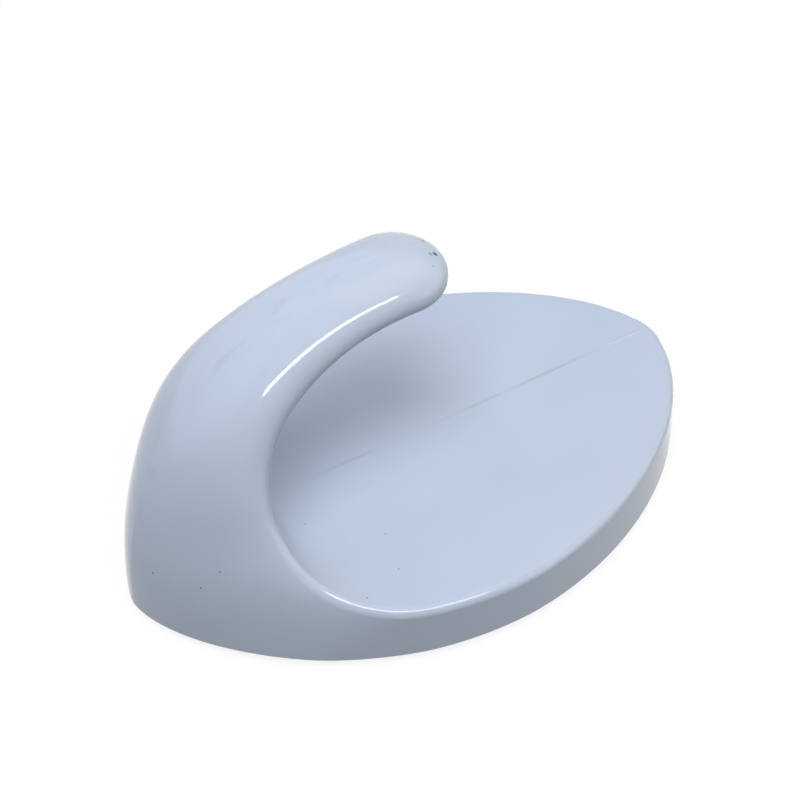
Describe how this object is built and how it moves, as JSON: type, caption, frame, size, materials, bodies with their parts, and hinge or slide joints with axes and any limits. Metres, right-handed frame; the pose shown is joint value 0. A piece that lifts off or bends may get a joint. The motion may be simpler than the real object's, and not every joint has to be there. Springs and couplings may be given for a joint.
{
  "type": "adhesive wall hook",
  "caption": "Moulded plastic wall hook with an oval plate and a curled round finger, on a foam mounting pad with adhesive faces and a peel-off liner.",
  "frame": {"origin": "middle of the plate's length and width, on the outer face of the release liner", "axes": "+Z away from the wall, +Y up the wall towards the plate's free end, X across; the hook lies on its back"},
  "size_m": [0.0452, 0.066, 0.0322],
  "materials": {
    "white_plastic": "moulded, glossy, slightly bluish white",
    "adhesive": "clear tacky film",
    "foam": "closed-cell foam, matt",
    "liner": "siliconed paper, satin"
  },
  "bodies": {
    "hook": {"hook_body": "white_plastic", "front_adhesive_film": "adhesive", "foam_pad": "foam", "back_adhesive_film": "adhesive"},
    "liner": {"release_liner": "liner"}
  },
  "joints": [
    {"name": "liner_peel", "type": "hinge", "parent": "hook", "child": "liner", "pos_m": [0, -0.03035, 0.00007], "axis": [-1, 0, 0], "range_deg": [0, 180]}
  ]
}
